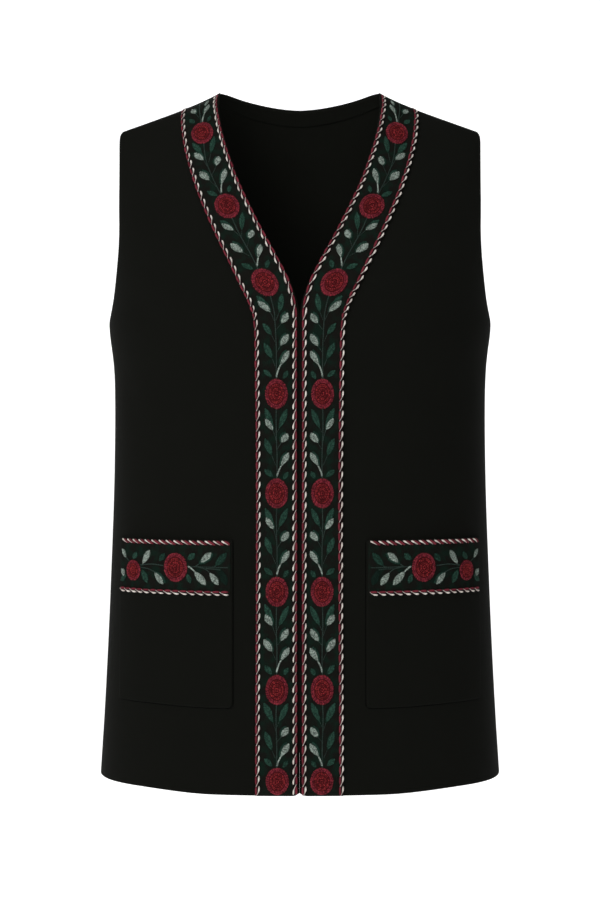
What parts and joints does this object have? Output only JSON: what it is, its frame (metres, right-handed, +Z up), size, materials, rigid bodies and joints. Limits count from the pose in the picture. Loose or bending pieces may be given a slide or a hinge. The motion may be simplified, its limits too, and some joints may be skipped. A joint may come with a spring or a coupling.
{
  "type": "embroidered folk vest",
  "caption": "Hollow sleeveless V-neck folk vest of black cloth, open down the front, with rose-embroidered ribbons edged in twisted cord and patch pockets.",
  "frame": {"origin": "midway between the inner ends of the two shoulder seams, where the garment hangs on its wearer", "axes": "+Z up, +X to the wearer's left, the fronts face -Y"},
  "size_m": [0.3952, 0.2449, 0.6796],
  "materials": {
    "vest_cloth": "fine smooth matt wool weave with a soft sheen at a low angle",
    "embroidered_ribbon": "dense satin and chain stitch in crimson, dark green and pale grey green over a dark woven ribbon",
    "twisted_cord": "two rows of slanted stitches, off-white and crimson, slight silk lustre"
  },
  "bodies": {
    "root": {"back": "vest_cloth", "neck_facing": "vest_cloth", "front_left": "vest_cloth", "ribbon_left": "embroidered_ribbon", "cord_left_inner": "twisted_cord", "cord_left_outer": "twisted_cord", "pocket_left": "vest_cloth", "pocket_ribbon_left": "embroidered_ribbon", "pocket_cord_left_upper": "twisted_cord", "pocket_cord_left_lower": "twisted_cord", "front_right": "vest_cloth", "ribbon_right": "embroidered_ribbon", "cord_right_inner": "twisted_cord", "cord_right_outer": "twisted_cord", "pocket_right": "vest_cloth", "pocket_ribbon_right": "embroidered_ribbon", "pocket_cord_right_upper": "twisted_cord", "pocket_cord_right_lower": "twisted_cord"}
  },
  "joints": []
}
